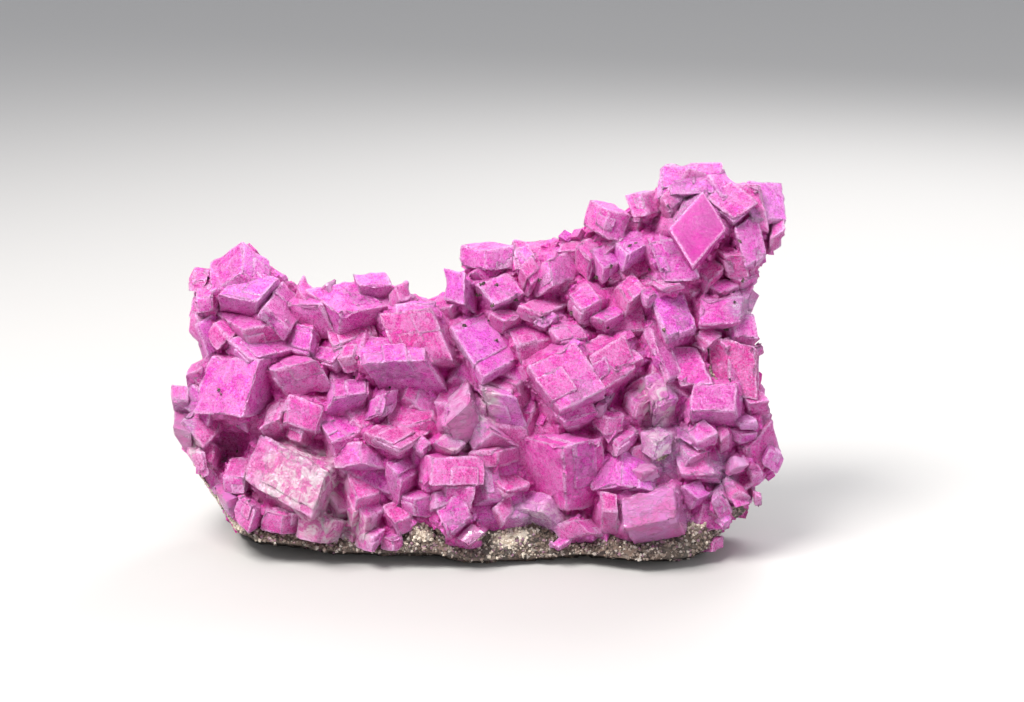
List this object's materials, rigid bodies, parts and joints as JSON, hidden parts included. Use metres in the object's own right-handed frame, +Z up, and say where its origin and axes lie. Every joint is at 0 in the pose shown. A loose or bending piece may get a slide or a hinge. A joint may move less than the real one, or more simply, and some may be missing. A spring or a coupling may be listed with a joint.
{
  "type": "mineral specimen",
  "caption": "Hand-sized mineral specimen: a crust of intergrown pink rhombohedral crystals on a wedge of grey-brown rock, standing on its flat underside",
  "frame": {"origin": "centre of the flat underside that the specimen rests on", "axes": "+X along the specimen's length, +Z up, the crystal-bearing front faces -Y"},
  "size_m": [0.0657, 0.0305, 0.0404],
  "materials": {
    "dolomite_crystals": "frosted crystal faces, slightly see-through, glassy in places",
    "matrix": "rough granular rock, matt with small sparkling grains"
  },
  "bodies": {
    "root": {"dolomite_crystals": "dolomite_crystals", "matrix": "matrix"}
  },
  "joints": []
}
